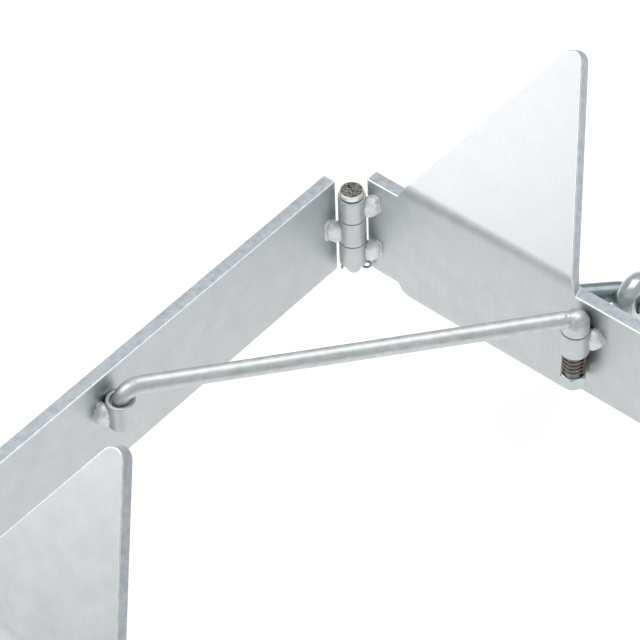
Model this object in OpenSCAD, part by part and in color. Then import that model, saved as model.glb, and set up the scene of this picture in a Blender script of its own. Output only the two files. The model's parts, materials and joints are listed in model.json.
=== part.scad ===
// Folding box anchor for small boats: four flat bars hinged into a rectangle, with bent
// triangular flukes above and below the front and rear bars, a spring-held stay rod that
// locks the frame square, and a tow bail with a forged link for the anchor line.
// Millimetres, +Z up, +Y is the direction of pull. The origin is on the ground plane, at the
// middle of the overall box.

/* [Frame] */
// Hinge to hinge along the front and rear bars
frame_w = 282; // [250:1:290]
// Hinge to hinge along the side bars
frame_l = 240; // [228:1:280]
// Height of the flat bar
bar_h = 50; // [50:1:60]
// Thickness of the flat bar
bar_t = 6; // [5:0.5:8]
// From a hinge axis to the inner face of each bar
face_gap = 6; // [6:0.1:7]
// From a hinge axis to the end of each bar
end_gap = 3; // [2.5:0.1:4]

/* [Flukes] */
// Lean of the flukes from upright, towards the pull
fluke_lean = 37.4; // [30:0.2:42]
// Outer radius of the fluke's bend
fluke_bend_r = 12; // [10:0.5:14]
// Height of the straight edge between the bar and the bend
fluke_root = 0.8; // [0.4:0.1:2]
// Width of a fluke across its base
fluke_base = 85; // [70:1:90]
// From the bend line to the point where the slanted edges meet
fluke_reach = 88.4; // [70:0.2:95]
// From the fluke's outer base corner to below its tip
fluke_tip_x = 46.7; // [36:0.1:50]
// From the hinge axis to the fluke's outer base corner
fluke_from = 21; // [18:0.5:24]
// Radius of the rounded tip
fluke_tip_r = 5; // [3:0.5:8]

/* [Hinges] */
// Outer diameter of the hinge tubes
tube_d = 11.5; // [11:0.1:11.8]
// Diameter of the hinge pins
pin_d = 6; // [5:0.5:6.5]
// Radial play of a pin in its tubes
pin_play = 0.05; // [0.03:0.01:0.09]
// Diameter of a hinge pin's head
pin_head_d = 10; // [9:0.1:10.4]
// Thickness of a hinge pin's head
pin_head_t = 2.6; // [2:0.1:2.8]
// Lower end of the bottom hinge tube, above the bar's bottom edge
tube_z0 = 6.5; // [6:0.1:8]
// Length of the bottom hinge tube
tube_low = 12; // [10:0.5:13]
// Length of the middle hinge tube
tube_mid = 13; // [11:0.5:13]
// Length of the top hinge tube
tube_top = 11.6; // [10:0.2:12]
// Gap between the hinge tubes
tube_gap = 0.3; // [0.2:0.05:0.5]
// Wire diameter of a split pin's doubled shank
split_d = 1.6; // [1.4:0.1:1.8]

/* [Stay] */
// Diameter of the stay rod
stay_d = 7; // [6:0.2:7]
// Height of the stay rod's axis above the bar's bottom edge
stay_z = 46.5; // [46:0.1:46.5]
// From the left side bar to the pivot, along the front bar
stay_x = 113; // [110:0.5:114]
// From the front bar's hinge line back to the socket
stay_y = 137.5; // [130:0.5:140]
// Bend radius at the socket end
stay_bend = 9; // [7:0.5:9]
// Bend radius at the pivot end
stay_elbow = 5; // [4.5:0.1:6]
// Outer diameter of the pivot and socket sleeves
sleeve_d = 11.8; // [11.4:0.1:11.8]
// Bore of the socket sleeve
socket_bore = 8.6; // [8:0.1:8.6]
// Depth of the stay's end in the socket
socket_grip = 4.4; // [4:0.1:4.4]
// Wire diameter of the stay's spring
spring_wire = 1.1; // [1:0.05:1.2]
// Outer diameter of the stay's spring
spring_d = 9.8; // [9.6:0.1:10.4]
// Turns of the stay's spring
spring_turns = 5; // [4:0.5:5]
// Width across the flats of the lock nut
nut_af = 10; // [10:0.5:11]

/* [Tow bail] */
// Diameter of the bail rod
bail_d = 8.5; // [7:0.1:8.5]
// Length of each straight foot along the front bar
bail_foot = 24; // [18:1:28]
// From the front hinge line to the axis at the bail's apex
bail_reach = 40; // [38:0.5:50]
// Bore of the link's free eye
eye_bore = 12; // [10:0.5:14]
// Thickness of the link's eyes, from bore to outside
link_t = 7; // [6:0.5:7]
// Width of the link's eyes, along their bores
link_w = 10; // [8:0.5:10]

/* [Hidden] */
$fn = 64;
ZINC = [0.80, 0.82, 0.83];
ZINC_FLAT = [0.76, 0.78, 0.79];
ZINC_WELD = [0.74, 0.76, 0.77];
PIN_STEEL = [0.52, 0.50, 0.49];
SPRING_STEEL = [0.30, 0.27, 0.25];
BAIL_ZINC = [0.66, 0.71, 0.71];

CORNERS = ["front_left", "front_right", "rear_left", "rear_right"];

// the fluke: its rise to the bend line, its height, and how far it leans past the bar
bend_rise = fluke_root + fluke_bend_r * tan(fluke_lean / 2);
tip_dir_l = unit([-fluke_tip_x, -fluke_reach]);
tip_dir_r = unit([fluke_base - fluke_tip_x, -fluke_reach]);
tip_half = acos(tip_dir_l * tip_dir_r) / 2;
tip_mid = unit(tip_dir_l + tip_dir_r) * fluke_tip_r / sin(tip_half);
tip_centre = [fluke_tip_x, fluke_reach] + tip_mid;
tip_up = atan2(-tip_mid.y, -tip_mid.x);
fluke_top = tip_centre.y + fluke_tip_r;
fluke_rise = bend_rise + fluke_top * cos(fluke_lean);
fluke_throw = face_gap + fluke_top * sin(fluke_lean) + bar_t * cos(fluke_lean);

// the frame's place: it stands on its lower fluke tips, centred on the overall box
bar_z = fluke_rise;
front_y = (frame_l + face_gap + bar_t - fluke_throw) / 2;
rear_y = front_y - frame_l;
side_x = frame_w / 2;
bar_pitch = frame_l + 2 * face_gap + bar_t;

// the hinge's tubes, from the bar's bottom edge
mid_z0 = tube_z0 + tube_low + tube_gap;
top_z0 = mid_z0 + tube_mid + tube_gap;
top_z1 = top_z0 + tube_top;
head_z = top_z1 + tube_gap;
pin_end_z = 1.2;
split_z = 3.4;
split_turn = 40;

// the stay: socket at the left bar, pivot at the front bar, heights from the bar's bottom
pivot = [stay_x - side_x, front_y];
socket = [-side_x, front_y - stay_y];
stay_span = norm(socket - pivot);
stay_turn = atan2(socket.y - pivot.y, socket.x - pivot.x);
pivot_sleeve_z = [28.6, 40];
socket_sleeve_z = [27.1, 40.1];
spring_z = [16.8, 28.4];
nut_z = [10.2, 16.6];
thread_d = 6;
thread_end_z = 8.6;
pivot_bore = stay_d + 2 * pin_play;

// the bail: its feet are welded to the outer face of the front bar
bail_z = bar_h / 2;
bail_foot_y = face_gap + bar_t + bail_d / 2;
bail_bend = 7;
bail_turn = 45;
bail_flat = 34;
link_x = 6 - bail_flat;
bail_arm = bail_reach - bail_foot_y;
bail_half = bail_flat + bail_arm + bail_foot;
back_bore = bail_d + 0.8;
eye_drop = back_bore / 2 + link_t + eye_bore / 2 - 0.6;

ARC_STEPS = 12;

function unit(v) = v / norm(v);
function arc(centre, r, from, to) = [for (step = [0:ARC_STEPS])
    let (angle = from + (to - from) * step / ARC_STEPS) centre + r * [cos(angle), sin(angle)]];
function mirror_x(corner) = corner == "front_right" || corner == "rear_right" ? 1 : 0;
function mirror_y(corner) = corner == "rear_left" || corner == "rear_right" ? 1 : 0;

// a point is on the hinge axis, with the fluke bar running to +X and its face towards +Y
module at_corner(corner) {
    translate([mirror_x(corner) ? side_x : -side_x, mirror_y(corner) ? rear_y : front_y, bar_z])
        mirror([mirror_x(corner), 0, 0])
            mirror([0, mirror_y(corner), 0])
                children();
}

module tube(d, bore, z0, z1) {
    translate([0, 0, z0])
        difference() {
            cylinder(d = d, h = z1 - z0);
            translate([0, 0, -1])
                cylinder(d = bore, h = z1 - z0 + 2);
        }
}

// a round bar bent through an angle: it starts along +X at the origin and turns towards +Y
module bent_round(d, bend_r, angle) {
    translate([0, bend_r, 0])
        rotate([0, 0, -90])
            rotate_extrude(angle = angle)
                translate([bend_r, 0])
                    circle(d = d);
}

// ---- fluke bars ----

// the bent strip's section: X is across the bar, Y is up from the bar's top edge
module fluke_section(length) {
    centre = [fluke_bend_r, fluke_root];
    along = [sin(fluke_lean), cos(fluke_lean)];
    across = [cos(fluke_lean), -sin(fluke_lean)];
    inner_r = fluke_bend_r - bar_t;
    lap = 5;
    polygon(concat(
        [[0, -lap]],
        arc(centre, fluke_bend_r, 180, 180 - fluke_lean),
        [centre - fluke_bend_r * across + length * along, centre - inner_r * across + length * along],
        arc(centre, inner_r, 180 - fluke_lean, 180),
        [[bar_t, -lap]]));
}

module fluke_outline(skirt) {
    tip = [fluke_tip_x, fluke_reach];
    foot = fluke_reach + skirt;
    half_turn = 90 - tip_half;
    polygon(concat(
        [tip - tip_dir_l * foot / tip_dir_l.y, tip - tip_dir_r * foot / tip_dir_r.y],
        arc(tip_centre, fluke_tip_r, tip_up - half_turn, tip_up + half_turn)));
}

// base corner at the origin, inner face on Y = 0, standing on the bar's top edge
module fluke() {
    skirt = 9;
    intersection() {
        translate([-20, 0, 0])
            rotate([90, 0, 90])
                linear_extrude(fluke_base + 40)
                    fluke_section(fluke_reach + 10);
        translate([0, 0, bend_rise])
            rotate([90 - fluke_lean, 0, 0])
                translate([0, 0, -3 * bar_t])
                    linear_extrude(6 * bar_t)
                        fluke_outline(skirt);
    }
}

// the bar's inner face is on Y = 0 and its middle on X = 0
module fluke_bar() {
    half = frame_w / 2;
    translate([-half + end_gap, 0, 0])
        cube([frame_w - 2 * end_gap, bar_t, bar_h]);
    for (side = [0, 1], low = [0, 1])
        mirror([side, 0, 0])
            translate([-half + fluke_from, 0, bar_h / 2])
                mirror([0, 0, low])
                    translate([0, 0, bar_h / 2])
                        fluke();
}

module front_fluke_bar() {
    color(ZINC_FLAT)
        translate([0, front_y + face_gap, bar_z])
            fluke_bar();
}

module rear_fluke_bar() {
    color(ZINC_FLAT)
        translate([0, front_y + face_gap - bar_pitch, bar_z])
            fluke_bar();
}

module side_bar() {
    translate([-side_x - face_gap - bar_t, rear_y + end_gap, bar_z])
        cube([bar_t, frame_l - 2 * end_gap, bar_h]);
}

module left_side_bar() {
    color(ZINC_FLAT)
        side_bar();
}

module right_side_bar() {
    color(ZINC_FLAT)
        mirror([1, 0, 0])
            side_bar();
}

// ---- hinges ----

module bar_tubes(corner) {
    color(ZINC)
        at_corner(corner) {
            tube(tube_d, pin_d + 2 * pin_play, tube_z0, tube_z0 + tube_low);
            tube(tube_d, pin_d + 2 * pin_play, top_z0, top_z1);
        }
}

module side_tube(corner) {
    color(ZINC)
        at_corner(corner)
            tube(tube_d, pin_d + 2 * pin_play, mid_z0, mid_z0 + tube_mid);
}

module hinge_pin(corner) {
    chamfer = 0.5;
    color(PIN_STEEL)
        at_corner(corner)
            difference() {
                union() {
                    translate([0, 0, pin_end_z])
                        cylinder(d = pin_d, h = head_z - pin_end_z + 0.5);
                    translate([0, 0, head_z])
                        cylinder(d = pin_head_d, h = pin_head_t - chamfer);
                    translate([0, 0, head_z + pin_head_t - chamfer])
                        cylinder(d1 = pin_head_d, d2 = pin_head_d - 2 * chamfer, h = chamfer);
                }
                translate([0, 0, split_z])
                    rotate([0, 90, split_turn])
                        cylinder(d = split_d + 2 * pin_play, h = 2 * pin_d, center = true);
            }
}

// eye towards +X, legs through the pin and curled back under it
module split_pin_shape() {
    wire = split_d * 0.68;
    eye_r = (4.5 - wire) / 2;
    eye_x = pin_d / 2 + eye_r + 0.25;
    curl_r = 1.2;
    leg_x = pin_d / 2 + 1.0;
    rotate([0, 90, 0])
        translate([0, 0, -leg_x])
            cylinder(d = split_d, h = leg_x + eye_x - eye_r);
    translate([eye_x, 0, 0])
        rotate([90, 0, 0])
            rotate_extrude()
                translate([eye_r, 0])
                    circle(d = wire);
    for (flip = [0, 1])
        mirror([0, 0, flip])
            translate([-leg_x, 0, 0.1])
                rotate([90, 0, 180])
                    bent_round(wire, curl_r, 150);
}

module split_pin(corner) {
    color(ZINC)
        at_corner(corner)
            translate([0, 0, split_z])
                rotate([0, 0, split_turn])
                    split_pin_shape();
}

// a bead of weld between a tube and the inner face of the bar that it is fixed to
module weld(face, length, reach) {
    difference() {
        union() {
            translate([tube_d / 2 - 0.3, face - 2.4, length * 0.28])
                sphere(d = 5.6);
            translate([tube_d / 2 + reach, face - 1.4, length * 0.42])
                sphere(d = 5.2);
            translate([tube_d / 2 + 0.2, face - 2.2, -length * 0.26])
                sphere(d = 6);
            translate([tube_d / 2 + reach * 0.8, face - 1.0, -length * 0.14])
                sphere(d = 5.4);
        }
        translate([0, face, -length])
            cube([40, 20, 2 * length]);
        translate([0, 0, -length])
            cylinder(d = tube_d, h = 2 * length);
    }
}

module bar_welds(corner) {
    color(ZINC_WELD)
        at_corner(corner) {
            translate([0, 0, top_z0 + 5.6])
                weld(face_gap, 7, 1.8);
            translate([0, 0, tube_z0 + 6.2])
                weld(face_gap, 7, 2.2);
        }
}

module side_weld(corner) {
    color(ZINC_WELD)
        at_corner(corner)
            translate([0, 0, mid_z0 + 6.2])
                mirror([1, 1, 0])
                    weld(face_gap, 8, 2.0);
}

// ---- stay ----

module stay_pivot_sleeve() {
    color(ZINC)
        translate([pivot.x, pivot.y, bar_z])
            tube(sleeve_d, pivot_bore, pivot_sleeve_z[0], pivot_sleeve_z[1]);
}

module stay_socket_sleeve() {
    color(ZINC)
        translate([socket.x, socket.y, bar_z])
            tube(sleeve_d, socket_bore, socket_sleeve_z[0], socket_sleeve_z[1]);
}

// a heavier bead between a sleeve and the bar behind it, on one side of the sleeve
module sleeve_weld(length) {
    difference() {
        union() {
            translate([sleeve_d / 2 + 0.2, face_gap - 2.6, length * 0.22])
                sphere(d = 6.2);
            translate([sleeve_d / 2 + 1.6, face_gap - 1.4, -length * 0.05])
                sphere(d = 5.6);
            translate([sleeve_d / 2 - 0.2, face_gap - 2.4, -length * 0.28])
                sphere(d = 5.4);
        }
        translate([0, face_gap, -length])
            cube([40, 20, 2 * length]);
        translate([0, 0, -length])
            cylinder(d = sleeve_d, h = 2 * length);
    }
}

module stay_pivot_weld() {
    color(ZINC_WELD)
        translate([pivot.x, pivot.y, bar_z + (pivot_sleeve_z[0] + pivot_sleeve_z[1]) / 2 + 1])
            sleeve_weld(9);
}

module stay_socket_weld() {
    color(ZINC_WELD)
        translate([socket.x, socket.y, bar_z + (socket_sleeve_z[0] + socket_sleeve_z[1]) / 2])
            rotate([0, 0, 90])
                mirror([1, 0, 0])
                    sleeve_weld(11);
}

// the rod lies along +X from the pivot's axis to the socket's axis, and its pivot end is
// upset into a shouldered lump that sits on the pivot sleeve
module stay_rod() {
    leg_end_z = socket_sleeve_z[1] - socket_grip;
    leg_chamfer = 0.6;
    elbow_z = stay_z - stay_elbow;
    lump_d = 10.8;
    lump_z = pivot_sleeve_z[1] + 0.2;
    lump_h = 3.6;
    shoulder_h = 3.4;
    lap = 0.2;
    color(ZINC)
        translate([pivot.x, pivot.y, bar_z])
            rotate([0, 0, stay_turn]) {
                translate([stay_elbow, 0, stay_z])
                    rotate([0, 90, 0])
                        cylinder(d = stay_d, h = stay_span - stay_elbow - stay_bend);
                translate([stay_span - stay_bend, 0, stay_z])
                    rotate([-90, 0, 0])
                        bent_round(stay_d, stay_bend, 90);
                translate([stay_span, 0, leg_end_z + leg_chamfer])
                    cylinder(d = stay_d, h = stay_z - stay_bend - leg_end_z - leg_chamfer);
                translate([stay_span, 0, leg_end_z])
                    cylinder(d1 = stay_d - 2 * leg_chamfer, d2 = stay_d, h = leg_chamfer);
                translate([stay_elbow, 0, stay_z])
                    rotate([-90, 0, 180])
                        bent_round(stay_d, stay_elbow, 90);
                translate([0, 0, spring_z[0] - lap])
                    cylinder(d = stay_d, h = elbow_z - spring_z[0] + lap);
                translate([0, 0, lump_z])
                    cylinder(d = lump_d, h = lump_h);
                translate([0, 0, lump_z + lump_h])
                    cylinder(d1 = lump_d, d2 = 0.8 * lump_d, h = shoulder_h);
                translate([0, 0, thread_end_z])
                    cylinder(d = thread_d, h = spring_z[0] - thread_end_z);
            }
}

// an even helix, with its wire inside the height that the spring takes up
module stay_spring() {
    sides = 8;
    rings_per_turn = 24;
    rings = spring_turns * rings_per_turn;
    mean_r = (spring_d - spring_wire) / 2;
    low = spring_z[0] + spring_wire / 2;
    rise = spring_z[1] - spring_z[0] - spring_wire;
    points = [for (ring = [0:rings], side = [0:sides - 1])
        let (turn = 360 * ring * spring_turns / rings, around = 360 * side / sides,
            r = mean_r + spring_wire / 2 * cos(around))
        [r * cos(turn), r * sin(turn), low + rise * ring / rings + spring_wire / 2 * sin(around)]];
    walls = [for (ring = [0:rings - 1], side = [0:sides - 1])
        let (a = ring * sides + side, b = ring * sides + (side + 1) % sides)
        [a, b, b + sides, a + sides]];
    ends = [[for (side = [sides - 1:-1:0]) side], [for (side = [0:sides - 1]) rings * sides + side]];
    color(SPRING_STEEL)
        translate([pivot.x, pivot.y, bar_z])
            polyhedron(points, concat(walls, ends));
}

module stay_lock_nut() {
    bevel = 0.9;
    height = nut_z[1] - nut_z[0];
    corner_d = nut_af / cos(30);
    color(ZINC)
        translate([pivot.x, pivot.y, bar_z + nut_z[0]])
            difference() {
                intersection() {
                    cylinder(d = corner_d, h = height, $fn = 6);
                    union() {
                        cylinder(d1 = corner_d - 2 * bevel, d2 = corner_d, h = bevel);
                        translate([0, 0, bevel])
                            cylinder(d = corner_d + 1, h = height - 2 * bevel);
                        translate([0, 0, height - bevel])
                            cylinder(d1 = corner_d, d2 = corner_d - 2 * bevel, h = bevel);
                    }
                }
                translate([0, 0, -1])
                    cylinder(d = thread_d, h = height + 2);
            }
}

// ---- tow bail ----

module at_apex() {
    translate([0, front_y + bail_reach, bar_z + bail_z])
        children();
}

// one side of the bail's axis, from its apex: [x, y, heading] at every ring
function bail_side_path() =
    let (slope = bail_bend * tan(bail_turn / 2),
        knee = [bail_flat - slope, -bail_bend],
        heel = [bail_flat + bail_arm + slope, bail_bend - bail_arm],
        knee_arc = arc(knee, bail_bend, 90, 90 - bail_turn),
        heel_arc = arc(heel, bail_bend, 270 - bail_turn, 270))
    concat(
        [for (step = [0:ARC_STEPS])
            [knee_arc[step].x, knee_arc[step].y, -bail_turn * step / ARC_STEPS]],
        [for (step = [0:ARC_STEPS])
            [heel_arc[step].x, heel_arc[step].y, bail_turn * (step / ARC_STEPS - 1)]],
        [[bail_half, -bail_arm, 0]]);

// a round rod swept along the axis from the left foot to the right foot
module tow_bail() {
    sides = 20;
    right = bail_side_path();
    last = len(right) - 1;
    left = [for (ring = [last:-1:0]) [-right[ring].x, right[ring].y, -right[ring].z]];
    path = concat(left, right);
    points = [for (ring = path, side = [0:sides - 1])
        let (around = 360 * side / sides, out = bail_d / 2 * cos(around))
        [ring.x - out * sin(ring.z), ring.y + out * cos(ring.z), bail_d / 2 * sin(around)]];
    walls = [for (ring = [0:len(path) - 2], side = [0:sides - 1])
        let (a = ring * sides + side, b = ring * sides + (side + 1) % sides)
        [a, a + sides, b + sides, b]];
    ends = [[for (side = [0:sides - 1]) side],
        [for (side = [sides - 1:-1:0]) (len(path) - 1) * sides + side]];
    color(BAIL_ZINC)
        at_apex()
            polyhedron(points, concat(walls, ends));
}

// a bead above and below each foot, run along the outer face of the front bar
module tow_bail_welds() {
    face_y = -bail_reach + face_gap + bar_t;
    bead_d = 6;
    bead_step = 4;
    bead_z = bail_d / 2 - 0.6;
    color(ZINC_WELD)
        at_apex()
            for (side = [0, 1], low = [0, 1])
                mirror([side, 0, 0])
                    mirror([0, 0, low])
                        difference() {
                            union()
                                for (step = [0:4])
                                    translate([bail_half - bead_d / 2 - step * bead_step,
                                        face_y + 0.7, bead_z + 0.15 * (step % 2)])
                                        sphere(d = bead_d);
                            translate([0, face_y - 20, -20])
                                cube([2 * bail_half, 20, 40]);
                            translate([0, face_y + bail_d / 2, 0])
                                rotate([0, 90, 0])
                                    cylinder(d = bail_d, h = 2 * bail_half);
                        }
}

// a ring with a rounded outside, which the bore is cut through later
module eye(bore) {
    rotate([0, 90, 0])
        rotate_extrude()
            translate([bore / 2 + link_t - link_w / 2, 0])
                circle(d = link_w);
}

// the link is free to slide along the bail's flat, and rests at its left end
module tow_link() {
    color(BAIL_ZINC)
        at_apex() translate([link_x, 0, 0])
            difference() {
                union() {
                    eye(back_bore);
                    translate([0, 0, -eye_drop])
                        eye(eye_bore);
                }
                rotate([0, 90, 0])
                    cylinder(d = back_bore, h = 2 * link_t, center = true);
                translate([0, 0, -eye_drop])
                    rotate([0, 90, 0])
                        cylinder(d = eye_bore, h = 2 * link_t, center = true);
            }
}

for (corner = CORNERS) {
    bar_tubes(corner);
    side_tube(corner);
    hinge_pin(corner);
    split_pin(corner);
    bar_welds(corner);
    side_weld(corner);
}
front_fluke_bar();
rear_fluke_bar();
left_side_bar();
right_side_bar();
stay_pivot_sleeve();
stay_pivot_weld();
stay_socket_sleeve();
stay_socket_weld();
stay_rod();
stay_spring();
stay_lock_nut();
tow_bail();
tow_bail_welds();
tow_link();
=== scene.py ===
"""Folding box anchor: its finished surfaces, the studio around it and the camera.

Everything is in metres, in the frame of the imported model: +Y is the direction of pull, +Z is up
and the origin is on the ground, at the middle of the overall box.
"""

import json
import math

import bmesh
import bpy
from bpy.props import FloatProperty, FloatVectorProperty, IntProperty, PointerProperty
from mathutils import Matrix, Vector

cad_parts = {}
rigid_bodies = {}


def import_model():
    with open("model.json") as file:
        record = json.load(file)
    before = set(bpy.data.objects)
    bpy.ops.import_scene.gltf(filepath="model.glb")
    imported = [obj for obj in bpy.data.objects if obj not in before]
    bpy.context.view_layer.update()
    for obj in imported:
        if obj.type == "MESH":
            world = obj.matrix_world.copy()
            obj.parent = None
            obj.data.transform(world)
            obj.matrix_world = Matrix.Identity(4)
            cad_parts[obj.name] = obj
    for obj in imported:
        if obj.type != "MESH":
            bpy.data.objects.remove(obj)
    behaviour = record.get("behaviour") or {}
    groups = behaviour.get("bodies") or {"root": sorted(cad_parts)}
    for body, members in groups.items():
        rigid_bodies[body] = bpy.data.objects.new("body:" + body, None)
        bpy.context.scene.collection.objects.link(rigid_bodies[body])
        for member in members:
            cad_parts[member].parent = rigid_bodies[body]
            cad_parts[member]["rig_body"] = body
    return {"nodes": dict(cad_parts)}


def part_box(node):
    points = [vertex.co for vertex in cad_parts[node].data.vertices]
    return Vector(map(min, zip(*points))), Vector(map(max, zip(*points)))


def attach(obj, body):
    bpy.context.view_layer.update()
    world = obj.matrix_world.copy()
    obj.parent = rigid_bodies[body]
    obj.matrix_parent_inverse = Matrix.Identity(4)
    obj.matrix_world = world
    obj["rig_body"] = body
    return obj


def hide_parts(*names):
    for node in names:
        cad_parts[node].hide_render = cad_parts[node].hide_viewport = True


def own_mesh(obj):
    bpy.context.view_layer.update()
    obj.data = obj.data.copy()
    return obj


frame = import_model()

bl_info = {
    "name": "Folding box anchor",
    "version": (1, 0, 0),
    "blender": (4, 5, 0),
    "location": "3D View > Sidebar > Anchor",
    "description": "Finishes the pieces of a folding box anchor and sets up its studio",
    "category": "Object",
}

UP = Vector((0, 0, 1))
MERGE = 1e-6
VOXEL = 0.0003
CORNERS = ("front_left", "front_right", "rear_left", "rear_right")
BODY_OF = {node: piece["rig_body"] for node, piece in frame["nodes"].items()}
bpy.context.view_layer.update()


def linear(hex_colour):
    """Turns an sRGB hex colour into the linear colour that shaders use."""
    shares = [int(hex_colour[place:place + 2], 16) / 255 for place in (0, 2, 4)]
    return [share / 12.92 if share <= 0.04045 else ((share + 0.055) / 1.055) ** 2.4
            for share in shares]


def middle(node):
    """The middle of a CAD node's box."""
    low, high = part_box(node)
    return (low + high) / 2


# ---- sizes and colours ----


def length(label, text, default):
    """A length that a user may change."""
    return FloatProperty(name=label, description=text, default=default, min=0, unit="LENGTH",
                         precision=5)


def colour(label, text, hex_colour):
    """A colour that a user may change."""
    return FloatVectorProperty(name=label, description=text, default=linear(hex_colour),
                               subtype="COLOR", min=0, max=1)


class AnchorSizes(bpy.types.PropertyGroup):
    """Sizes of the anchor's small features."""

    bar_edge: length("Bar edge", "Rounding of the flat bars' sheared edges", 0.0005)
    rim_edge: length("Tube rim", "Rounding of the ends of the tubes and sleeves", 0.00035)
    pin: length("Hinge pin", "Diameter of the hinge pins", 0.006)
    pin_head: length("Pin head", "Thickness of the hinge pins' heads", 0.0026)
    split_wire: length("Split pin wire", "Diameter of the split pins' half-round wire", 0.0011)
    split_drop: length("Split pin height", "From the pin's lower end to the split pin", 0.0022)
    split_eye: length("Split pin eye", "Outer diameter of the split pins' eye", 0.0045)
    split_curl: length("Split pin curl", "Bend radius of the split pins' spread legs", 0.0012)
    stay: length("Stay rod", "Diameter of the stay rod", 0.007)
    thread: length("Thread", "Diameter of the stay rod's threaded end", 0.006)
    socket_bend: length("Socket bend", "Bend radius at the stay's socket end", 0.009)
    pivot_bend: length("Pivot bend", "Bend radius at the stay's pivot end", 0.005)
    lump: length("Upset end", "Diameter of the upset lump at the stay's pivot end", 0.0112)
    spring_wire: length("Spring wire", "Wire diameter of the spring", 0.0011)
    spring_turns: IntProperty(name="Spring turns", description="Turns of the spring",
                              default=5, min=3, max=8)
    socket_grip: length("Socket grip", "Depth of the stay's end in its socket", 0.0044)
    stay_lift: length("Stay lift", "Travel of the stay out of its socket", 0.005)
    bail: length("Bail rod", "Diameter of the tow bail's rod", 0.0085)
    bail_bend: length("Bail bend", "Bend radius of the tow bail's axis", 0.007)
    bail_flat: length("Bail flat", "Half the length of the tow bail's flat middle", 0.034)
    bead_relief: length("Bead relief", "Height of the ripples on the weld beads", 0.0005)


class AnchorColours(bpy.types.PropertyGroup):
    """Colours of the anchor's finishes."""

    zinc: colour("Zinc", "Satin zinc plating on the flat bars", "CDD1D2")
    zinc_shade: colour("Dull zinc", "Duller patches and streaks in the zinc", "C1C5C6")
    edge_zinc: colour("Edge zinc", "Zinc on the bars' sheared edges", "C9CED3")
    edge_shade: colour("Dull edge zinc", "Duller specks on the sheared edges", "A6ADB3")
    # rod zinc and weld are also the two tones of the painted highlight on the rounded corners of
    # the bars and pin heads
    rod_zinc: colour("Rod zinc", "Brighter zinc on the round parts", "DADDDE")
    weld: colour("Weld", "Plated weld metal", "F2F5F6")
    blue_zinc: colour("Blue zinc", "Blue passivated zinc on the nut and the link", "C4CFD1")
    bail_zinc: colour("Bail zinc", "Dulled blue zinc on the bail's rod", "98A3A6")
    bail_shade: colour("Bail shade", "Darker patches on the bail's rod", "7D898A")
    worn_head: colour("Worn head", "Bare steel on top of the hinge pins", "3B3735")
    worn_line: colour("Bright wear", "Bright scratches in the worn steel", "B0A9A3")
    spring_steel: colour("Spring steel", "Oiled spring wire", "8A7D74")
    floor: colour("Floor", "Studio floor", "959595")


# ---- modelling by hand ----


def clear_selection():
    """Leaves nothing selected, and nothing active."""
    bpy.ops.object.select_all(action="DESELECT")
    bpy.context.view_layer.objects.active = None


def pick(piece):
    """Selects one piece alone and makes it active."""
    clear_selection()
    piece.select_set(True)
    bpy.context.view_layer.objects.active = piece


def added(name):
    """Names the primitive that was just added and puts its place into its mesh."""
    piece = bpy.context.object
    piece.name = name
    piece.data.name = name
    bpy.ops.object.transform_apply(location=True, rotation=True, scale=True)
    return piece


def begin_edit():
    """Enters edit mode with everything selected."""
    bpy.ops.object.mode_set(mode="EDIT")
    bpy.ops.mesh.select_all(action="SELECT")


def end_edit():
    """Leaves edit mode."""
    bpy.ops.object.mode_set(mode="OBJECT")


def close_up():
    """Fills open ends, merges doubles and turns the faces outwards, in edit mode."""
    bpy.ops.mesh.select_all(action="SELECT")
    bpy.ops.mesh.remove_doubles(threshold=MERGE)
    bpy.ops.mesh.fill_holes(sides=0)
    bpy.ops.mesh.normals_make_consistent(inside=False)


def choose(piece, kind, wanted):
    """Selects the faces or edges whose middle and normal the test wants, in edit mode."""
    bpy.ops.mesh.select_mode(type=kind)
    bpy.ops.mesh.select_all(action="DESELECT")
    shape = bmesh.from_edit_mesh(piece.data)
    parts = shape.faces if kind == "FACE" else shape.edges
    for part in parts:
        place = sum((corner.co for corner in part.verts), Vector()) / len(part.verts)
        if wanted(part, place):
            part.select_set(True)
    bmesh.update_edit_mesh(piece.data)


def apply_modifier(piece, kind, **settings):
    """Adds a modifier with its settings and applies it."""
    pick(piece)
    made = piece.modifiers.new(kind.lower(), kind)
    for name, value in settings.items():
        setattr(made, name, value)
    bpy.ops.object.modifier_apply(modifier=made.name)


def smooth(piece, degrees=30):
    """Shades a piece smooth, and keeps its flat faces flat."""
    pick(piece)
    bpy.ops.object.shade_smooth_by_angle(angle=math.radians(degrees))
    apply_modifier(piece, "WEIGHTED_NORMAL", keep_sharp=True)


def cad_copy(node):
    """A merged copy of a CAD node's mesh, without the lines across its flat faces."""
    clear_selection()
    mesh = frame["nodes"][node].data.copy()
    mesh.materials.clear()
    mesh.name = node + "_finished"
    piece = bpy.data.objects.new(node + "_finished", mesh)
    bpy.context.scene.collection.objects.link(piece)
    pick(piece)
    bpy.ops.mesh.customdata_custom_splitnormals_clear()
    begin_edit()
    bpy.ops.mesh.remove_doubles(threshold=MERGE)
    bpy.ops.mesh.dissolve_limited(angle_limit=math.radians(0.4))
    end_edit()
    return piece


def joined(pieces):
    """Joins pieces into the first of them."""
    clear_selection()
    for piece in pieces:
        piece.select_set(True)
    bpy.context.view_layer.objects.active = pieces[0]
    bpy.ops.object.join()
    return bpy.context.object


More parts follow.
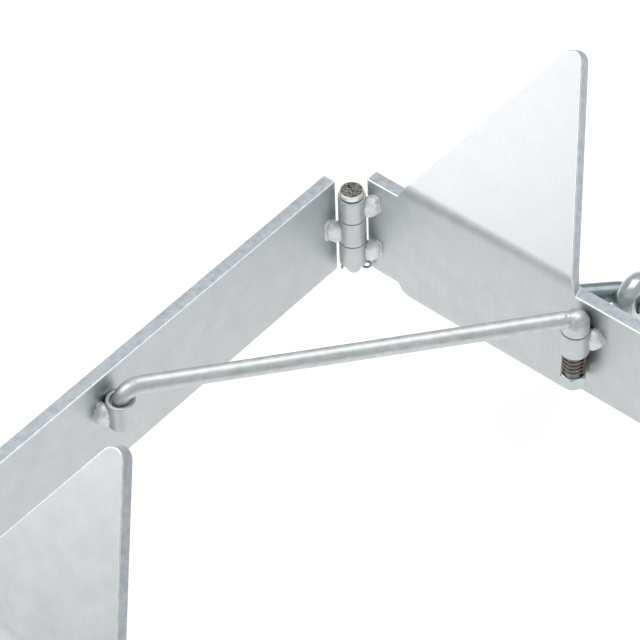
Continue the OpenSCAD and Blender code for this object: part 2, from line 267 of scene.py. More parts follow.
def spun_tube(name, axis, outer, bore, low, high, rim):
    """A tube: its wall's section, with rounded corners, spun about an upright axis."""
    wall = (outer - bore) / 2
    clear_selection()
    bpy.ops.mesh.primitive_plane_add(
        size=1, location=(axis.x + bore / 2 + wall / 2, axis.y, (low + high) / 2),
        rotation=(math.pi / 2, 0, 0))
    bpy.context.object.scale = (wall, high - low, 1)
    piece = added(name)
    begin_edit()
    bpy.ops.mesh.bevel(offset=rim, segments=4, affect="VERTICES")
    bpy.ops.mesh.select_all(action="SELECT")
    bpy.ops.mesh.delete(type="ONLY_FACE")
    bpy.ops.mesh.select_all(action="SELECT")
    bpy.ops.mesh.spin(steps=72, angle=math.tau, center=(axis.x, axis.y, low), axis=UP)
    close_up()
    end_edit()
    smooth(piece)
    return piece


class BentRod:
    """A round rod drawn along straights and bends, from a ring at its first end."""

    def __init__(self, name, diameter, place, heading, sides=32):
        clear_selection()
        turn = UP.rotation_difference(heading).to_euler()
        bpy.ops.mesh.primitive_circle_add(vertices=sides, radius=diameter / 2, location=place,
                                          rotation=turn)
        self.piece = added(name)
        self.diameter = diameter
        self.place = Vector(place)
        self.heading = Vector(heading).normalized()
        begin_edit()

    def straight(self, distance):
        """Draws the rod straight on."""
        step = self.heading * distance
        bpy.ops.mesh.extrude_edges_move(TRANSFORM_OT_translate={"value": step})
        self.place = self.place + step

    def bend(self, towards, radius, degrees, steps):
        """Bends the rod towards a direction square to its heading."""
        centre = self.place + Vector(towards).normalized() * radius
        axis = (self.place - centre).cross(self.heading).normalized()
        angle = math.radians(degrees)
        bpy.ops.mesh.spin(steps=steps, angle=-angle, center=centre, axis=axis)
        turn = Matrix.Rotation(angle, 3, axis)
        self.place = centre + turn @ (self.place - centre)
        self.heading = turn @ self.heading

    def taper(self, diameter):
        """Scales the ring at the rod's end."""
        share = diameter / self.diameter
        bpy.ops.transform.resize(value=(share, share, share))
        self.diameter = diameter

    def close(self):
        """Closes both ends and gives the piece."""
        close_up()
        end_edit()
        return self.piece


def hand_over(piece, node, slot, *materials):
    """Puts a finished piece in place of its CAD node, with its materials."""
    piece.name = node + "_finished"
    piece.data.name = piece.name
    while len(piece.data.materials) > len(materials):
        piece.data.materials.pop()
    for place, material in enumerate(materials):
        if place < len(piece.data.materials):
            piece.data.materials[place] = material
        else:
            piece.data.materials.append(material)
    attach(piece, BODY_OF[node])
    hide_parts(node)


def at_corners(piece, ending, slot, *materials):
    """Copies a front left piece to all four corners, mirrored about the anchor's middle."""
    centre = (middle("front_left_side_tube") + middle("rear_right_side_tube")) / 2
    for corner in CORNERS:
        copy = piece
        if corner != "front_left":
            copy = piece.copy()
            copy.data = piece.data.copy()
            bpy.context.scene.collection.objects.link(copy)
            flip = Vector((-1 if corner.endswith("right") else 1,
                           -1 if corner.startswith("rear") else 1, 1))
            mirror = Matrix.Diagonal(flip).to_4x4()
            home = Matrix.Translation(Vector((centre.x, centre.y, 0)))
            copy.data.transform(home @ mirror @ home.inverted())
            pick(copy)
            begin_edit()
            bpy.ops.mesh.normals_make_consistent(inside=False)
            end_edit()
        hand_over(copy, corner + ending, slot, *materials)


# ---- materials ----


def add(tree, kind, settings, sockets):
    """Adds one shader node, with its settings and with its sockets' values or links."""
    made = tree.nodes.new(kind)
    for name, value in settings.items():
        setattr(made, name, value)
    for name, value in sockets.items():
        if isinstance(value, bpy.types.NodeSocket):
            tree.links.new(value, made.inputs[name])
        else:
            made.inputs[name].default_value = value
    return made


def blank(name):
    """A new material with an empty node tree."""
    material = bpy.data.materials.new(name)
    material.use_nodes = True
    material.node_tree.nodes.clear()
    return material, material.node_tree


def rgba(value):
    """A property's colour with full alpha."""
    return (*value, 1.0)


def per_mm(size):
    """The scale that makes a noise pattern's features that many millimetres wide."""
    return 1000 / size


def plated(name, light, dark, rough, streak_mm, patch_mm, grit_mm, stretch, relief_mm,
           shine=0.0, metal=1.0):
    """Plated steel: streaks left by rolling or drawing, cloudy patches and a fine grit."""
    material, tree = blank(name)
    place = add(tree, "ShaderNodeTexCoord", {}, {}).outputs["Object"]
    drawn = add(tree, "ShaderNodeMapping", {}, {"Vector": place, "Scale": stretch})
    streaks = add(tree, "ShaderNodeTexNoise", {}, {
        "Vector": drawn.outputs["Vector"], "Scale": per_mm(streak_mm), "Detail": 3.0,
        "Roughness": 0.6})
    patches = add(tree, "ShaderNodeTexNoise", {}, {
        "Vector": place, "Scale": per_mm(patch_mm), "Detail": 4.0, "Roughness": 0.55})
    grit = add(tree, "ShaderNodeTexNoise", {}, {
        "Vector": place, "Scale": per_mm(grit_mm), "Detail": 2.0, "Roughness": 0.7})
    mixed = add(tree, "ShaderNodeMath", {"operation": "MULTIPLY_ADD"}, {
        0: streaks.outputs["Fac"], 1: 0.4, 2: patches.outputs["Fac"]})
    tone = add(tree, "ShaderNodeMapRange", {}, {
        "Value": mixed.outputs["Value"], "From Min": 0.45, "From Max": 0.95})
    colours = add(tree, "ShaderNodeMix", {"data_type": "RGBA"}, {
        0: tone.outputs["Result"], 6: dark, 7: light})
    roughness = add(tree, "ShaderNodeMapRange", {}, {
        "Value": patches.outputs["Fac"], "From Min": 0.3, "From Max": 0.7,
        "To Min": rough - 0.02, "To Max": rough + 0.03})
    height = add(tree, "ShaderNodeMath", {"operation": "MULTIPLY_ADD"}, {
        0: streaks.outputs["Fac"], 1: 0.2, 2: grit.outputs["Fac"]})
    bump = add(tree, "ShaderNodeBump", {}, {
        "Height": height.outputs["Value"], "Strength": 0.5, "Distance": relief_mm / 1000})
    skin = add(tree, "ShaderNodeBsdfPrincipled", {}, {
        "Base Color": colours.outputs[2], "Roughness": roughness.outputs["Result"],
        "Metallic": metal, "Normal": bump.outputs["Normal"], "Coat Weight": shine,
        "Coat Roughness": 0.2})
    add(tree, "ShaderNodeOutputMaterial", {}, {"Surface": skin.outputs["BSDF"]})
    return material


def flat_bar_zinc(colours, name, stretch):
    """Zinc plated hot-rolled flat: a satin grey with faint rolling streaks along the bar, soft
    cloudy patches 9 mm across, and a scale-pitted grain drawn at 0.9 mm so that it shows."""
    return plated(name, rgba(colours.zinc), rgba(colours.zinc_shade), 0.44, 1.3, 9.0, 0.9,
                  stretch, 0.006)


def sheared_edge_zinc(colours):
    """Zinc over a sheared edge: rougher and greyer than the rolled faces, with short specks
    0.8 mm across where the coating caught on the torn steel."""
    return plated("sheared_edge_zinc", rgba(colours.edge_zinc), rgba(colours.edge_shade), 0.5,
                  0.8, 3.0, 0.8, (1, 1, 1), 0.02)


def drawn_tube_zinc(colours):
    """Zinc plated drawn tube: smoother than the flat bar, with no clear direction."""
    return plated("drawn_tube_zinc", rgba(colours.zinc), rgba(colours.zinc_shade), 0.42,
                  1.6, 5.0, 0.8, (1, 1, 0.5), 0.006)


def bright_rod_zinc(colours):
    """Zinc plated bright-drawn rod: the shiniest of the plain zinc, faintly dimpled."""
    return plated("bright_rod_zinc", rgba(colours.rod_zinc), rgba(colours.zinc_shade), 0.42,
                  1.8, 4.0, 0.9, (1, 1, 1), 0.01, metal=0.9)


def weld_zinc(colours):
    """Zinc over weld metal: pale and frosty, so it spreads the light that falls on it."""
    return plated("weld_zinc", rgba(colours.weld), rgba(colours.rod_zinc), 0.45,
                  1.2, 2.2, 0.6, (1, 1, 1), 0.02, metal=0.4)


def painted_corner_highlight(colours):
    """Near-white zinc on the bars' rounded corners and the pin heads' rims, smoother than the
    faces: a painted highlight along the corners that catch the light.
    """
    return plated("painted_corner_highlight", rgba(colours.weld), rgba(colours.rod_zinc), 0.34,
                  0.8, 3.0, 0.6, (1, 1, 1), 0.01)


def bail_rod_zinc(colours):
    """Blue passivated zinc gone dull and greenish on the bail, the darkest of the plating."""
    return plated("bail_rod_zinc", rgba(colours.bail_zinc), rgba(colours.bail_shade), 0.3,
                  2.0, 5.0, 0.8, (1, 1, 1), 0.02)


def blue_passivated_zinc(colours):
    """Blue passivated zinc: colder and glossier than the bars, on the nut and the tow gear."""
    return plated("blue_passivated_zinc", rgba(colours.blue_zinc), rgba(colours.zinc_shade),
                  0.24, 2.0, 5.0, 0.8, (1, 1, 1), 0.02, shine=0.15)


def split_pin_zinc(colours):
    """Thin soft wire whose plating has gone dark, but still reflects sharply."""
    return plated("split_pin_zinc", rgba(colours.zinc_shade), rgba(colours.worn_head), 0.2,
                  0.8, 2.0, 0.5, (1, 1, 1), 0.01)


def ground_pin_head(colours):
    """Bare ground steel: dark brown-grey, with bright worn marks that wander over it 2 mm
    apart, drawn twice as coarse as they are so that they show."""
    material, tree = blank("ground_pin_head")
    place = add(tree, "ShaderNodeTexCoord", {}, {}).outputs["Object"]
    drift = add(tree, "ShaderNodeTexNoise", {}, {
        "Vector": place, "Scale": per_mm(3.5), "Detail": 2.0})
    scratches = add(tree, "ShaderNodeTexNoise", {}, {
        "Vector": place, "Scale": per_mm(1.8), "Distortion": 3.0, "Detail": 4.0,
        "Roughness": 0.7})
    sparse = add(tree, "ShaderNodeMapRange", {}, {
        "Value": scratches.outputs["Fac"], "From Min": 0.46,
        "From Max": 0.58})
    colours_mixed = add(tree, "ShaderNodeMix", {"data_type": "RGBA"}, {
        0: sparse.outputs["Result"], 6: rgba(colours.worn_head), 7: rgba(colours.worn_line)})
    roughness = add(tree, "ShaderNodeMapRange", {}, {
        "Value": drift.outputs["Fac"], "From Min": 0.3, "From Max": 0.7, "To Min": 0.38,
        "To Max": 0.6})
    bump = add(tree, "ShaderNodeBump", {}, {
        "Height": scratches.outputs["Fac"], "Strength": 0.5, "Distance": 0.00003})
    skin = add(tree, "ShaderNodeBsdfPrincipled", {}, {
        "Base Color": colours_mixed.outputs[2], "Roughness": roughness.outputs["Result"],
        "Metallic": 1.0, "Normal": bump.outputs["Normal"]})
    add(tree, "ShaderNodeOutputMaterial", {}, {"Surface": skin.outputs["BSDF"]})
    return material


def oiled_spring_steel(colours):
    """Oiled spring steel: dark brown wire with small bright glints on the oil film."""
    return plated("oiled_spring_steel", rgba(colours.spring_steel),
                  [value * 0.45 for value in colours.spring_steel] + [1.0], 0.25,
                  0.8, 2.0, 0.5, (1, 1, 1), 0.01, shine=0.3)


def finish_named(name, make, *parts):
    """The material of that name, made the first time that it is asked for."""
    return bpy.data.materials.get(name) or make(bpy.context.scene.anchor_colours, *parts)


# ---- operators, one for each piece or group of like pieces ----


def dressed_bar(node, edge, zinc_name, stretch):
    """Rounds a bar's edges and gives its rolled faces and sheared edges their zinc, and its
    rounded corners a painted highlight.
    """
    piece = cad_copy(node)
    zincs = (finish_named(zinc_name, flat_bar_zinc, zinc_name, stretch),
             finish_named("sheared_edge_zinc", sheared_edge_zinc),
             finish_named("painted_corner_highlight", painted_corner_highlight))
    for zinc in zincs:
        piece.data.materials.append(zinc)
    across = 0 if "side" in node else 1
    for face in piece.data.polygons:
        face.material_index = 0 if abs(face.normal[across]) > 0.72 else 1
    # the bevel's rounded corners take the near-white corner zinc: a painted highlight along the
    # edges
    apply_modifier(piece, "BEVEL", width=edge, segments=3, limit_method="ANGLE",
                   angle_limit=math.radians(30), material=2)
    smooth(piece)
    hand_over(piece, node, "flat_bar", *zincs)


class ANCHOR_OT_side_bars(bpy.types.Operator):
    """Finishes the two plain side bars"""

    bl_idname = "anchor.side_bars"
    bl_label = "Side bars"

    def execute(self, context):
        for node in ("left_side_bar", "right_side_bar"):
            dressed_bar(node, context.scene.anchor_sizes.bar_edge, "side_bar_zinc", (1, 0.06, 1))
        return {"FINISHED"}


class ANCHOR_OT_fluke_bars(bpy.types.Operator):
    """Finishes the front and rear bars, with their bent flukes"""

    bl_idname = "anchor.fluke_bars"
    bl_label = "Fluke bars"

    def execute(self, context):
        for node in ("front_fluke_bar", "rear_fluke_bar"):
            dressed_bar(node, context.scene.anchor_sizes.bar_edge, "fluke_bar_zinc", (1, 1, 0.08))
        return {"FINISHED"}


class ANCHOR_OT_hinge_tubes(bpy.types.Operator):
    """Turns the three tubes of each hinge"""

    bl_idname = "anchor.hinge_tubes"
    bl_label = "Hinge tubes"

    def execute(self, context):
        sizes = context.scene.anchor_sizes
        zinc = finish_named("drawn_tube_zinc", drawn_tube_zinc)
        low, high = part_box("front_left_side_tube")
        axis = (low + high) / 2
        outer = high.x - low.x
        play = 0.00006
        bore = sizes.pin + 2 * play
        gap = 0.0003
        side = spun_tube("side_tube", axis, outer, bore, low.z, high.z, sizes.rim_edge)
        bar_low, bar_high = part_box("front_left_bar_tubes")
        lower = spun_tube("lower_tube", axis, outer, bore, bar_low.z, low.z - gap,
                          sizes.rim_edge)
        upper = spun_tube("upper_tube", axis, outer, bore, high.z + gap, bar_high.z,
                          sizes.rim_edge)
        at_corners(side, "_side_tube", "hinge_tube", zinc)
        at_corners(joined([lower, upper]), "_bar_tubes", "hinge_tube", zinc)
        return {"FINISHED"}


class ANCHOR_OT_hinge_pins(bpy.types.Operator):
    """Shapes the hinge pins, with their flat round heads"""

    bl_idname = "anchor.hinge_pins"
    bl_label = "Hinge pins"

    def execute(self, context):
        sizes = context.scene.anchor_sizes
        low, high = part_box("front_left_hinge_pin")
        axis = (low + high) / 2
        neck = high.z - sizes.pin_head
        head_r = (high.x - low.x) / 2
        grow = 2 * head_r / sizes.pin
        head_rounding = 0.00045
        dish_rim, dish_depth = 0.0012, 0.00008
        end_chamfer = 0.0006
        clear_selection()
        bpy.ops.mesh.primitive_cylinder_add(
            vertices=64, radius=sizes.pin / 2, depth=neck - low.z,
            location=(axis.x, axis.y, (neck + low.z) / 2))
        pin = added("hinge_pin")
        begin_edit()
        choose(pin, "FACE", lambda face, place: face.normal.z > 0.9)
        bpy.ops.mesh.extrude_region_move()
        bpy.ops.transform.resize(value=(grow, grow, 1))
        bpy.ops.mesh.extrude_region_move(
            TRANSFORM_OT_translate={"value": (0, 0, sizes.pin_head)})
        choose(pin, "EDGE", lambda edge, place: (
            abs(edge.verts[0].co.z - edge.verts[1].co.z) < MERGE
            and (place - axis).xy.length > 0.8 * head_r
            and min(abs(place.z - high.z), abs(place.z - neck)) < MERGE))
        bpy.ops.mesh.bevel(offset=head_rounding, segments=3, affect="EDGES")
        choose(pin, "FACE", lambda face, place: place.z > high.z - MERGE)
        bpy.ops.mesh.inset(thickness=dish_rim)
        bpy.ops.transform.translate(value=(0, 0, -dish_depth))
        choose(pin, "EDGE", lambda edge, place: max(corner.co.z for corner in edge.verts)
               < low.z + MERGE)
        bpy.ops.mesh.bevel(offset=end_chamfer, segments=2, affect="EDGES")
        end_edit()
        zincs = (finish_named("bright_rod_zinc", bright_rod_zinc),
                 finish_named("ground_pin_head", ground_pin_head),
                 finish_named("painted_corner_highlight", painted_corner_highlight))
        for zinc in zincs:
            pin.data.materials.append(zinc)
        # the head's rim and sides take the near-white corner zinc, a painted highlight; only the
        # dished top is worn bare steel
        for face in pin.data.polygons:
            out = (face.center - axis).xy.length
            if face.center.z > high.z - 2 * dish_depth and out < 0.88 * head_r:
                face.material_index = 1
            elif face.center.z > neck:
                face.material_index = 2
        smooth(pin)
        at_corners(pin, "_hinge_pin", "hinge_pin", *zincs)
        return {"FINISHED"}


class ANCHOR_OT_split_pins(bpy.types.Operator):
    """Bends the split pins that keep the hinge pins in"""

    bl_idname = "anchor.split_pins"
    bl_label = "Split pins"

    def execute(self, context):
        sizes = context.scene.anchor_sizes
        low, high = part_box("front_left_hinge_pin")
        wire = sizes.split_wire
        turned = math.radians(40)
        out = Vector((math.cos(turned), math.sin(turned), 0))
        place = Vector(((low.x + high.x) / 2, (low.y + high.y) / 2, low.z + sizes.split_drop))
        overhang = 0.001
        leg = sizes.pin / 2 + overhang
        eye_r = (sizes.split_eye - wire) / 2
        eye_gap = 0.0002
        eye_place = place + out * (sizes.pin / 2 + eye_gap + sizes.split_eye / 2)
        clear_selection()
        bpy.ops.mesh.primitive_torus_add(
            major_segments=40, minor_segments=16, major_radius=eye_r, minor_radius=wire / 2,
            location=eye_place, rotation=(math.pi / 2, 0, turned))
        strands = [added("split_pin_eye")]
        # the wire is half round, so the two legs lie closer than their own thickness
        half = wire * 0.36
        for side in (UP, -UP):
            start = eye_place - out * eye_r + side * half
            rod = BentRod("split_pin_leg", wire, start, -out, sides=16)
            rod.straight((start - place).dot(out) + leg)
            rod.bend(side, sizes.split_curl - half, 150, 14)
            strands.append(rod.close())
        piece = joined(strands)
        smooth(piece, 40)
        at_corners(piece, "_split_pin", "split_pin",
                   finish_named("split_pin_zinc", split_pin_zinc))
        return {"FINISHED"}


class ANCHOR_OT_weld_beads(bpy.types.Operator):
    """Melts the weld beads into lumpy, rippled metal"""

    bl_idname = "anchor.weld_beads"
    bl_label = "Weld beads"

    def execute(self, context):
        zinc = finish_named("weld_zinc", weld_zinc)
        forward = Vector((0, 1, 0))
        left = Vector((-1, 0, 0))
        for ending, bar in (("_bar_welds", forward), ("_side_weld", left)):
            at_corners(self.bead(context, "front_left" + ending, bar), ending, "weld_bead", zinc)
        for node, bar in (("stay_pivot_weld", forward), ("stay_socket_weld", left),
                          ("tow_bail_welds", -forward)):
            hand_over(self.bead(context, node, bar), node, "weld_bead", zinc)
        return {"FINISHED"}

    def bead(self, context, node, bar):
        """One weld, wide where it meets the bar, run together and rippled."""
        pick(cad_copy(node))
        begin_edit()
        bpy.ops.mesh.separate(type="LOOSE")
        end_edit()
        beads = list(bpy.context.selected_objects)
        for drops in beads:
            pick(drops)
            begin_edit()
            bpy.ops.mesh.convex_hull()
            choose(drops, "FACE", lambda face, place: face.normal.dot(bar) > 0.99)
            base_growth = 1.3
            bpy.ops.transform.resize(value=[1 if share else base_growth for share in bar])
            end_edit()
        piece = joined(beads)
        apply_modifier(piece, "REMESH", mode="VOXEL", voxel_size=VOXEL)
        apply_modifier(piece, "SMOOTH", factor=0.6, iterations=10)
        ripples = bpy.data.textures.get("weld_ripples") or bpy.data.textures.new(
            "weld_ripples", "CLOUDS")
        ripples.noise_scale = 0.0019
        ripples.noise_depth = 1
        apply_modifier(piece, "DISPLACE", texture=ripples, texture_coords="LOCAL",
                       strength=context.scene.anchor_sizes.bead_relief, mid_level=0.35)
        apply_modifier(piece, "SMOOTH", factor=0.5, iterations=2)
        pick(piece)
        bpy.ops.object.shade_smooth()
        return piece


class ANCHOR_OT_stay_sleeves(bpy.types.Operator):
    """Turns the stay's pivot sleeve and socket sleeve"""

    bl_idname = "anchor.stay_sleeves"
    bl_label = "Stay sleeves"

    def execute(self, context):
        sizes = context.scene.anchor_sizes
        zinc = finish_named("drawn_tube_zinc", drawn_tube_zinc)
        clearances = {"stay_pivot_sleeve": 0.0001, "stay_socket_sleeve": 0.0016}
        for node, clearance in clearances.items():
            low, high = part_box(node)
            piece = spun_tube(node + "_finished", (low + high) / 2, high.x - low.x,
                              sizes.stay + clearance, low.z, high.z, sizes.rim_edge)
            hand_over(piece, node, "hinge_tube", zinc)
        return {"FINISHED"}


class ANCHOR_OT_stay_rod(bpy.types.Operator):
    """Bends the stay rod and upsets its pivot end"""

    bl_idname = "anchor.stay_rod"
    bl_label = "Stay rod"

    def execute(self, context):
        sizes = context.scene.anchor_sizes
        pivot = middle("stay_pivot_sleeve")
        socket = middle("stay_socket_sleeve")
        low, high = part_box("stay_rod")
        sleeve_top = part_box("stay_pivot_sleeve")[1].z
        nut_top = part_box("stay_lock_nut")[1].z
        axis_z = high.z - sizes.stay / 2
        span = (socket - pivot).to_2d()
        run = Vector((span.x, span.y, 0)).normalized()
        rod = BentRod("stay_rod", sizes.thread, Vector((pivot.x, pivot.y, low.z)), UP, sides=40)
        rod.straight(nut_top - low.z)
        rod.taper(sizes.stay)
        rod.straight(axis_z - sizes.pivot_bend - nut_top)
        rod.bend(run, sizes.pivot_bend, 90, 12)
        rod.straight(span.length - sizes.pivot_bend - sizes.socket_bend)
        rod.bend(-UP, sizes.socket_bend, 90, 16)
        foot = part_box("stay_socket_sleeve")[1].z - sizes.socket_grip
        chamfer = 0.0006
        rod.straight(axis_z - sizes.socket_bend - foot - chamfer)
        rod.straight(chamfer)
        rod.taper(sizes.stay - 2 * chamfer)
        bent = rod.close()
        # the upset end: a ball, stretched down to a flat seat on the sleeve
        clear_selection()
        seat_gap, top_gap = 0.0002, 0.0003
        seat = sleeve_top + seat_gap
        ball = high.z - top_gap - sizes.lump / 2
        bpy.ops.mesh.primitive_uv_sphere_add(segments=48, ring_count=24, radius=sizes.lump / 2,
                                             location=(pivot.x, pivot.y, ball))
        lump = added("lump")
        begin_edit()
        choose(lump, "FACE", lambda face, place: place.z < ball)
        bpy.ops.transform.translate(value=(0, 0, seat - ball))
        bpy.ops.mesh.select_all(action="SELECT")
        bpy.ops.mesh.bisect(plane_co=(pivot.x, pivot.y, seat), plane_no=(0, 0, 1),
                            use_fill=True, clear_inner=True)
        close_up()
        end_edit()
        piece = joined([bent, lump])
        apply_modifier(piece, "REMESH", mode="VOXEL", voxel_size=VOXEL)
        # the hammer marks fade out along the rod, and stay off the seat
        hammered = piece.vertex_groups.new(name="hammered")
        reach, seat_margin = 0.012, 0.001
        centre = Vector((pivot.x, pivot.y, axis_z))
        for corner in piece.data.vertices:
            away = (corner.co - centre).length
            if away < reach and corner.co.z > seat + seat_margin:
                hammered.add([corner.index], min(1, 2 - 2 * away / reach), "REPLACE")
        apply_modifier(piece, "SMOOTH", factor=0.5, iterations=6)
        dents = bpy.data.textures.new("hammer_dents", "CLOUDS")
        dents.noise_scale = 0.0022
        apply_modifier(piece, "DISPLACE", texture=dents, texture_coords="LOCAL",
                       strength=0.0006, mid_level=0.6, vertex_group="hammered")
        pick(piece)
        bpy.ops.object.shade_smooth()
        hand_over(piece, "stay_rod", "stay_rod", finish_named("bright_rod_zinc", bright_rod_zinc))
        return {"FINISHED"}


class ANCHOR_OT_stay_spring(bpy.types.Operator):
    """Coils the spring under the pivot sleeve"""

    bl_idname = "anchor.stay_spring"
    bl_label = "Stay spring"

    def execute(self, context):
        sizes = context.scene.anchor_sizes
        low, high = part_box("stay_spring")
        axis = middle("stay_pivot_sleeve")
        wire = sizes.spring_wire
        sides, rings_per_turn = 14, 40
        coil = (high.x - low.x - wire) / 2
        rise = high.z - low.z - wire
        clear_selection()
        bpy.ops.mesh.primitive_circle_add(
            vertices=sides, radius=wire / 2, location=(axis.x + coil, axis.y, low.z + wire / 2),
            rotation=(math.pi / 2, 0, 0))
        spring = added("stay_spring_finished")
        begin_edit()
        for _ in range(sizes.spring_turns):
            bpy.ops.mesh.spin(steps=rings_per_turn, angle=-math.tau,
                              center=(axis.x, axis.y, 0), axis=UP)
        end_edit()
        # the turns lie in one plane until each ring is lifted by its share of the rise
        rings = sizes.spring_turns * rings_per_turn
        for corner in spring.data.vertices:
            corner.co.z += rise * (corner.index // sides) / rings
        pick(spring)
        begin_edit()
        bpy.ops.mesh.fill_holes(sides=0)
        bpy.ops.mesh.normals_make_consistent(inside=False)
        end_edit()
        pick(spring)
        bpy.ops.object.shade_smooth()
        hand_over(spring, "stay_spring", "spring",
                  finish_named("oiled_spring_steel", oiled_spring_steel))
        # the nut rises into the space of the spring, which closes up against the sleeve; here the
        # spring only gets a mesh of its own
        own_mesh(spring)
        return {"FINISHED"}


class ANCHOR_OT_stay_lock_nut(bpy.types.Operator):
    """Softens the edges of the lock nut"""

    bl_idname = "anchor.stay_lock_nut"
    bl_label = "Lock nut"

    def execute(self, context):
        nut = cad_copy("stay_lock_nut")
        corner_rounding = 0.00025
        apply_modifier(nut, "BEVEL", width=corner_rounding, segments=2, limit_method="ANGLE",
                       angle_limit=math.radians(25))
        smooth(nut)
        hand_over(nut, "stay_lock_nut", "lock_nut",
                  finish_named("blue_passivated_zinc", blue_passivated_zinc))
        return {"FINISHED"}


class ANCHOR_OT_tow_bail(bpy.types.Operator):
    """Bends the tow bail"""

    bl_idname = "anchor.tow_bail"
    bl_label = "Tow bail"

    def execute(self, context):
        sizes = context.scene.anchor_sizes
        low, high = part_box("tow_bail")
        centre = (low + high) / 2
        foot_y = low.y + sizes.bail / 2
        apex_y = high.y - sizes.bail / 2
        turn, bend_steps = 45, 8
        slope = sizes.bail_bend * math.tan(math.radians(turn / 2))
        arm = apex_y - foot_y
        arm_length = arm * math.sqrt(2) - 2 * slope
        flat = sizes.bail_flat
        foot = (high.x - low.x) / 2 - flat - arm
        right = Vector((1, 0, 0))
        forward = Vector((0, 1, 0))
        rod = BentRod("tow_bail", sizes.bail, Vector((low.x, foot_y, centre.z)), right, sides=40)
        rod.straight(foot - slope)
        rod.bend(forward, sizes.bail_bend, turn, bend_steps)
        rod.straight(arm_length)
        rod.bend(right - forward, sizes.bail_bend, turn, bend_steps)
        rod.straight(2 * flat - 2 * slope)
        rod.bend(-forward, sizes.bail_bend, turn, bend_steps)
        rod.straight(arm_length)
        rod.bend(right + forward, sizes.bail_bend, turn, bend_steps)
        rod.straight(foot - slope)
        bail = rod.close()
        end_rounding = 0.0008
        apply_modifier(bail, "BEVEL", width=end_rounding, segments=3, limit_method="ANGLE",
                       angle_limit=math.radians(60))
        smooth(bail, 40)
        hand_over(bail, "tow_bail", "tow_bail", finish_named("bail_rod_zinc", bail_rod_zinc))
        return {"FINISHED"}


class ANCHOR_OT_tow_link(bpy.types.Operator):
    """Forges the tow link's two eyes into one piece"""

    bl_idname = "anchor.tow_link"
    bl_label = "Tow link"

    def execute(self, context):
        link = cad_copy("tow_link")
        apply_modifier(link, "REMESH", mode="VOXEL", voxel_size=0.00035)
        apply_modifier(link, "SMOOTH", factor=0.6, iterations=12)
        pick(link)
        bpy.ops.object.shade_smooth()
        hand_over(link, "tow_link", "tow_bail",
                  finish_named("blue_passivated_zinc", blue_passivated_zinc))
        return {"FINISHED"}


class ANCHOR_OT_studio(bpy.types.Operator):
    """Sets up the floor, the lights and the camera"""

    bl_idname = "anchor.studio"
    bl_label = "Studio"

    def execute(self, context):
        self.floor(context)
        self.lights(context)
        self.camera(context)
        context.scene.view_settings.view_transform = "Standard"
        return {"FINISHED"}

    def floor(self, context):
        """A pale floor at the height that the anchor stands on."""
        clear_selection()
        bpy.ops.mesh.primitive_plane_add(size=12, location=(0, 0, 0))
        floor = added("studio_floor")
        material, tree = blank("studio_paper")
        skin = add(tree, "ShaderNodeBsdfPrincipled", {}, {
            "Base Color": rgba(context.scene.anchor_colours.floor), "Roughness": 0.9,
            "Specular IOR Level": 0.1, "Emission Color": (1, 1, 1, 1), "Emission Strength": 0.82})
        add(tree, "ShaderNodeOutputMaterial", {}, {"Surface": skin.outputs["BSDF"]})
        floor.data.materials.append(material)

    def panel(self, name, place, aim, size, power, tint):
        """A soft tinted light that faces a point."""
        light = bpy.data.lights.new(name, "AREA")
        light.shape = "RECTANGLE"
        light.size, light.size_y = size
        light.energy = power
        light.color = tint
        lamp = bpy.data.objects.new(name, light)
        lamp.location = place
        lamp.rotation_euler = (aim - place).to_track_quat("-Z", "Y").to_euler()
        bpy.context.scene.collection.objects.link(lamp)

    def lights(self, context):
        """An even pale surround, a large overhead panel and one beside the flukes."""
        world = bpy.data.worlds.new("studio_surround")
        world.use_nodes = True
        tree = world.node_tree
        tree.nodes.clear()
        surround = add(tree, "ShaderNodeBackground", {}, {"Color": (0.98, 0.995, 0.99, 1),
                                                           "Strength": 0.65})
        add(tree, "ShaderNodeOutputWorld", {}, {"Surface": surround.outputs["Background"]})
        context.scene.world = world
        hinge = middle("front_left_side_tube")
        above = hinge + Vector((-0.1, 0.3, 1.5))
        self.panel("overhead_panel", above, hinge, (1.4, 1.2), 8, (1, 1, 1))
        # its mirror image lies in the flukes, which it turns nearly white
        behind = hinge + Vector((-0.42, -0.65, 0.46))
        fluke = hinge + Vector((0.06, 0.04, 0.05))
        self.panel("fluke_panel", behind, fluke, (0.45, 0.45), 1.87, (1, 0.955, 0.985))

    def camera(self, context):
        """A long lens that looks down at the stay from behind and to the right."""
        hinge = middle("front_left_side_tube")
        stay_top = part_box("stay_rod")[1].z - context.scene.anchor_sizes.stay / 2
        aside, behind = 0.0366, 0.0628
        aim = Vector((hinge.x + aside, hinge.y - behind, stay_top))
        azimuth, elevation, roll = math.radians(42.0), math.radians(46.86), math.radians(-2.27)
        distance = 1.0965
        back = Vector((math.sin(azimuth) * math.cos(elevation),
                       -math.cos(azimuth) * math.cos(elevation), math.sin(elevation)))
        data = bpy.data.cameras.new("studio_camera")
        data.lens = 159.5
        data.sensor_width = 36
        data.dof.use_dof = False
        camera = bpy.data.objects.new("studio_camera", data)
        camera.location = aim + back * distance
        level = (-back).to_track_quat("-Z", "Y").to_matrix()
        camera.rotation_euler = (level @ Matrix.Rotation(roll, 3, "Z")).to_euler()
        context.scene.collection.objects.link(camera)
        context.scene.camera = camera


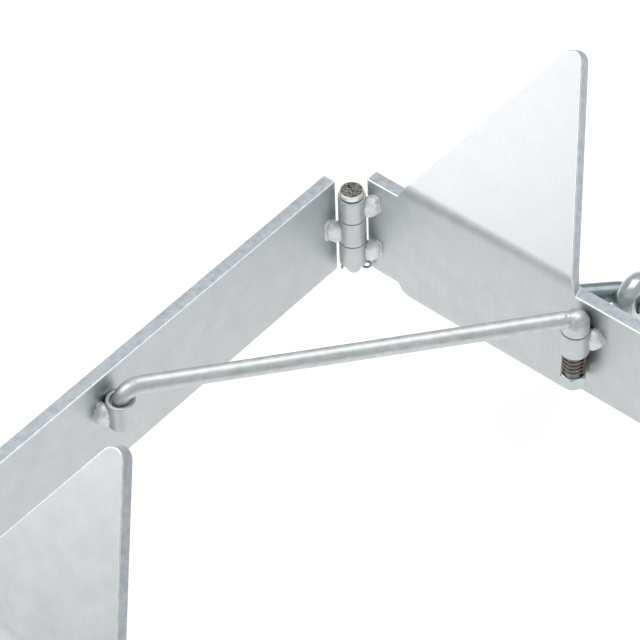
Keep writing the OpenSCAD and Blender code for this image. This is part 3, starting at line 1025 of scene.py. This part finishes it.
OPERATORS = (
    ANCHOR_OT_side_bars,
    ANCHOR_OT_fluke_bars,
    ANCHOR_OT_hinge_tubes,
    ANCHOR_OT_hinge_pins,
    ANCHOR_OT_split_pins,
    ANCHOR_OT_weld_beads,
    ANCHOR_OT_stay_sleeves,
    ANCHOR_OT_stay_rod,
    ANCHOR_OT_stay_spring,
    ANCHOR_OT_stay_lock_nut,
    ANCHOR_OT_tow_bail,
    ANCHOR_OT_tow_link,
    ANCHOR_OT_studio,
)


class ANCHOR_PT_pieces(bpy.types.Panel):
    """Lists the anchor's pieces, sizes and colours"""

    bl_idname = "ANCHOR_PT_pieces"
    bl_label = "Folding box anchor"
    bl_space_type = "VIEW_3D"
    bl_region_type = "UI"
    bl_category = "Anchor"

    def draw(self, context):
        for group in (context.scene.anchor_sizes, context.scene.anchor_colours):
            column = self.layout.column(align=True)
            for name in group.__annotations__:
                column.prop(group, name)
        column = self.layout.column(align=True)
        for operator in OPERATORS:
            column.operator(operator.bl_idname)


CLASSES = (AnchorSizes, AnchorColours, *OPERATORS, ANCHOR_PT_pieces)


def register():
    for made in CLASSES:
        bpy.utils.register_class(made)
    bpy.types.Scene.anchor_sizes = PointerProperty(type=AnchorSizes)
    bpy.types.Scene.anchor_colours = PointerProperty(type=AnchorColours)


def unregister():
    del bpy.types.Scene.anchor_colours
    del bpy.types.Scene.anchor_sizes
    for made in reversed(CLASSES):
        bpy.utils.unregister_class(made)


def main():
    """Makes every piece and the studio."""
    register()
    bpy.ops.anchor.side_bars()
    bpy.ops.anchor.fluke_bars()
    bpy.ops.anchor.hinge_tubes()
    bpy.ops.anchor.hinge_pins()
    bpy.ops.anchor.split_pins()
    bpy.ops.anchor.weld_beads()
    bpy.ops.anchor.stay_sleeves()
    bpy.ops.anchor.stay_rod()
    bpy.ops.anchor.stay_spring()
    bpy.ops.anchor.stay_lock_nut()
    bpy.ops.anchor.tow_bail()
    bpy.ops.anchor.tow_link()
    bpy.ops.anchor.studio()


if __name__ == "__main__":
    main()
